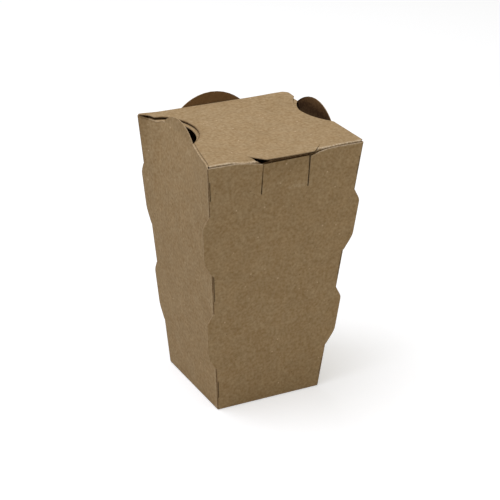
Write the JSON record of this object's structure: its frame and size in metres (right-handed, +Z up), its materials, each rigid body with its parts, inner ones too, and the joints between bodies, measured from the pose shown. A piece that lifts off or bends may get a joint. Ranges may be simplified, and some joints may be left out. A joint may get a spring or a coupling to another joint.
{
  "type": "takeaway box",
  "caption": "Tall tapered kraft board takeaway box with a tuck-in lid hinged at the back, half-moon vent tabs and rounded corner ears.",
  "frame": {"origin": "middle of the underside, on the surface that the box stands on", "axes": "+X to the right along the front wall, the front wall faces -Y, the lid is hinged on the +Y side, +Z up"},
  "size_m": [0.1018, 0.097, 0.1701],
  "materials": {
    "kraft_board": "uncoated brown kraft board with light and dark fibres",
    "kraft_lid": "uncoated brown kraft board with light and dark fibres"
  },
  "bodies": {
    "carton": {"carton": "kraft_board"},
    "lid": {"lid": "kraft_lid"}
  },
  "joints": [
    {"name": "lid_hinge", "type": "hinge", "parent": "carton", "child": "lid", "pos_m": [0, 0.04597, 0.16315], "axis": [-1, 0, 0], "range_deg": [0, 94]}
  ]
}
